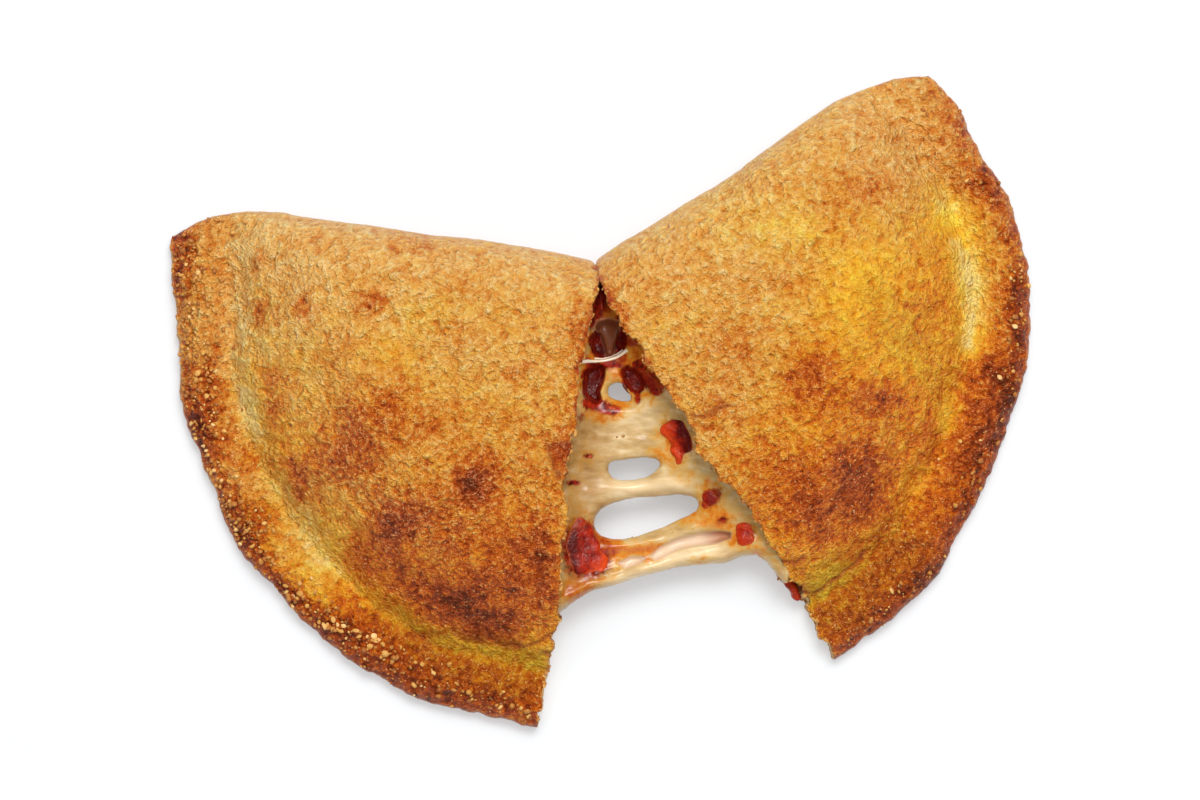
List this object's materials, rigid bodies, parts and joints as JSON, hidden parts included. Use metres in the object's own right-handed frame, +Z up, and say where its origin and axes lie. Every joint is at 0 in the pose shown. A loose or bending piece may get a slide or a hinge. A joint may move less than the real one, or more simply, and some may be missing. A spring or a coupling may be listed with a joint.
{
  "type": "panzerotto",
  "caption": "Oven-baked half-moon panzerotto, torn open from the sealed rim up to the fold, with a web of stretched mozzarella and tomato sauce across the tear.",
  "frame": {"origin": "middle of the bounding box, on the surface it rests on", "axes": "+X from the left torn part to the right one as seen from above with the fold at the back, +Y towards the fold, +Z up"},
  "size_m": [0.2683, 0.2008, 0.0348],
  "materials": {
    "baked_crust": "baked dough, golden brown, with toasted patches, blisters and cornmeal on the rim",
    "melted_mozzarella": "melted cheese, satin and slightly translucent, stained by sauce",
    "tomato_sauce": "cooked tomato sauce, wet",
    "tomato_piece": "cooked tomato, wet"
  },
  "bodies": {
    "root": {"crust": "baked_crust", "mozzarella": "melted_mozzarella", "sauce_left": "tomato_sauce", "sauce_right": "tomato_sauce", "tomato_left": "tomato_piece", "tomato_right": "tomato_piece", "tomato_upper": "tomato_piece", "tomato_front": "tomato_piece", "tomato_lip": "tomato_piece"}
  },
  "joints": []
}
